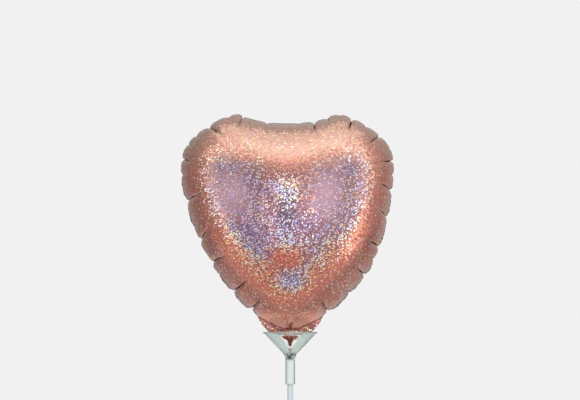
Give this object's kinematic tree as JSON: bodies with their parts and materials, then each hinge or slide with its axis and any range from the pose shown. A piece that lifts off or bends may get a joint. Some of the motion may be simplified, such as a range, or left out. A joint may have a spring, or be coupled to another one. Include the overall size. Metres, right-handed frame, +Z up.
{
  "type": "heart-shaped foil balloon on a stick",
  "caption": "Inflated heart-shaped foil balloon with a self-sealing valve, seated by its tail in a funnel-shaped cup on a hollow hand-held stick.",
  "frame": {"origin": "centre of the stick's lower end", "axes": "+Z up along the stick to the balloon, the front of the heart faces -Y, +X to the heart's left and the viewer's right"},
  "size_m": [0.186, 0.098, 0.5185],
  "materials": {
    "front_foil": "mirror-like metallised rose-gold film, dense with fine glitter that flashes in many hues",
    "back_foil": "mirror-like metallised rose-gold film, dense with fine glitter that flashes in many hues",
    "heat_seal": "crimped and welded film edge, satin",
    "valve_film": "clear thin film, slightly milky",
    "cup_plastic": "moulded clear plastic with a pale green tint, glossy",
    "stick_plastic": "extruded translucent plastic tube, pale blue-white, satin gloss"
  },
  "bodies": {
    "stick": {"balloon_stick": "stick_plastic"},
    "cup": {"balloon_cup": "cup_plastic"},
    "balloon": {"front_foil_panel": "front_foil", "back_foil_panel": "back_foil", "perimeter_heat_seal": "heat_seal", "valve_front_film": "valve_film", "valve_back_film": "valve_film"}
  },
  "joints": [
    {"name": "cup_swivel", "type": "hinge", "parent": "stick", "child": "cup", "pos_m": [0, 0, 0.2935], "axis": [0, 0, 1], "continuous": true},
    {"name": "balloon_lift", "type": "slide", "parent": "cup", "child": "balloon", "axis": [0, 0, 1], "range_m": [0, 0.05]}
  ]
}
